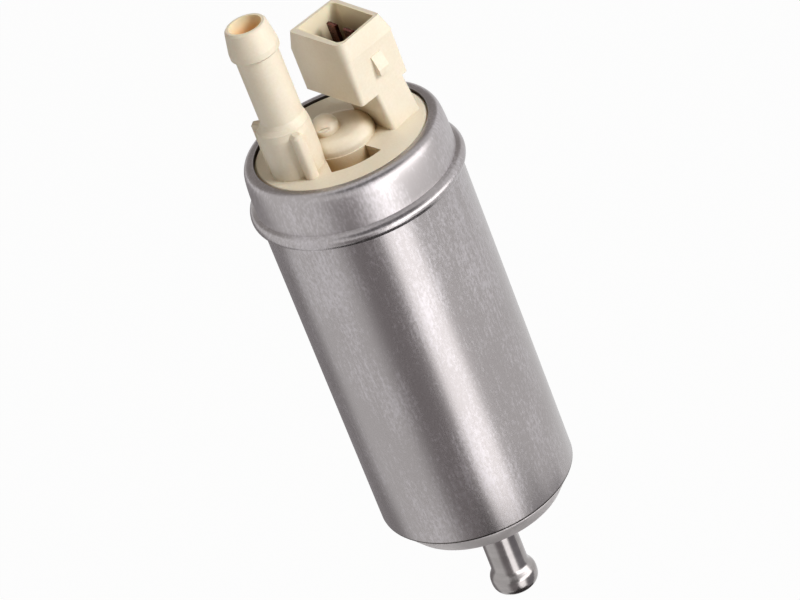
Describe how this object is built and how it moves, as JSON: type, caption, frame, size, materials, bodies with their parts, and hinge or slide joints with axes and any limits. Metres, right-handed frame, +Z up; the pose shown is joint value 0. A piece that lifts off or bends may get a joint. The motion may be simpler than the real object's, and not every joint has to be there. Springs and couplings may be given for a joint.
{
  "type": "electric fuel pump",
  "caption": "In-line electric fuel pump: a steel can with a rolled rim and ridge, a cream moulded end cover with a barbed outlet tower and a plug socket, and a steel inlet tube below",
  "frame": {"origin": "On the motor's axis, inside the can's straight wall that a clamp band grips, 41 mm below the top of the rolled rim and 48.45 mm above the can's lower edge", "axes": "+Z runs up the motor's axis from the inlet tube to the outlet tower. -Y is the front, the side that the picture shows, and +X is to its right, with the outlet on the -X side and the plug socket on the +X side"},
  "size_m": [0.046, 0.046, 0.1518],
  "materials": {
    "can_steel": "satin, drawn and tumbled",
    "cover_plastic": "cream moulding, slightly glossy",
    "cast_alloy": "as cast, dull",
    "polished_steel": "polished",
    "seal_rubber": "matt",
    "plate_alloy": "machined",
    "sintered_iron": "ground",
    "bush_bronze": "sintered",
    "bright_steel": "ground",
    "core_steel": "stacked sheets",
    "ferrite": "matt",
    "winding_copper": "enamelled",
    "contact_copper": "turned",
    "hub_plastic": "matt",
    "carrier_plastic": "matt",
    "brush_carbon": "matt",
    "spring_steel": "drawn",
    "blade_copper": "dull"
  },
  "bodies": {
    "housing": {"can": "can_steel", "flux_ring": "core_steel", "inlet_cover": "cast_alloy", "inlet_spigot": "polished_steel", "inlet_seal": "seal_rubber", "cover_seal": "seal_rubber", "gear_housing": "plate_alloy", "outlet_plate": "plate_alloy", "lower_bush": "bush_bronze", "upper_bush": "bush_bronze", "plate_dowels": "bright_steel", "relief_spring": "spring_steel", "magnet_north": "ferrite", "magnet_south": "ferrite", "magnet_clip_front": "spring_steel", "magnet_clip_back": "spring_steel", "brush_carrier": "carrier_plastic", "brush_spring_positive": "spring_steel", "brush_spring_negative": "spring_steel", "choke_core_positive": "ferrite", "choke_core_negative": "ferrite", "choke_coil_positive": "contact_copper", "choke_coil_negative": "contact_copper", "terminal_positive": "blade_copper", "terminal_negative": "blade_copper", "end_cover": "cover_plastic", "valve_seat": "carrier_plastic", "valve_guide": "carrier_plastic", "valve_spring": "spring_steel"},
    "armature": {"armature_shaft": "bright_steel", "armature_core": "core_steel", "armature_winding": "winding_copper", "shaft_spacer": "hub_plastic", "thrust_washer": "hub_plastic", "commutator_hub": "hub_plastic", "commutator_segments": "contact_copper", "star_gear": "sintered_iron"},
    "ring_gear": {"ring_gear": "sintered_iron"},
    "check_valve": {"valve_poppet": "carrier_plastic"},
    "relief_ball": {"relief_ball": "bright_steel"},
    "brush_positive": {"brush_positive": "brush_carbon"},
    "brush_negative": {"brush_negative": "brush_carbon"}
  },
  "joints": [
    {"name": "armature_spin", "type": "hinge", "parent": "housing", "child": "armature", "pos_m": [0, 0, 0], "axis": [0, 0, 1], "continuous": true},
    {"name": "ring_gear_spin", "type": "hinge", "parent": "housing", "child": "ring_gear", "pos_m": [-0.0009, 0, 0], "axis": [0, 0, 1], "continuous": true},
    {"name": "check_valve_lift", "type": "slide", "parent": "housing", "child": "check_valve", "axis": [0, 0, 1], "range_m": [0, 0.0022], "stiffness_N_per_m": 300, "springref_m": -0.002, "deforming": ["valve_spring"]},
    {"name": "relief_ball_lift", "type": "slide", "parent": "housing", "child": "relief_ball", "axis": [0, 0, -1], "range_m": [0, 0.0015], "stiffness_N_per_m": 2000, "springref_m": -0.002, "deforming": ["relief_spring"]},
    {"name": "brush_positive_slide", "type": "slide", "parent": "housing", "child": "brush_positive", "axis": [0, 0, 1], "range_m": [0, 0.0025], "stiffness_N_per_m": 150, "springref_m": -0.006, "deforming": ["brush_spring_positive"]},
    {"name": "brush_negative_slide", "type": "slide", "parent": "housing", "child": "brush_negative", "axis": [0, 0, 1], "range_m": [0, 0.0025], "stiffness_N_per_m": 150, "springref_m": -0.006, "deforming": ["brush_spring_negative"]}
  ],
  "couplings": [
    {"joint": "ring_gear_spin", "follows": "armature_spin", "ratio": 0.85714}
  ]
}
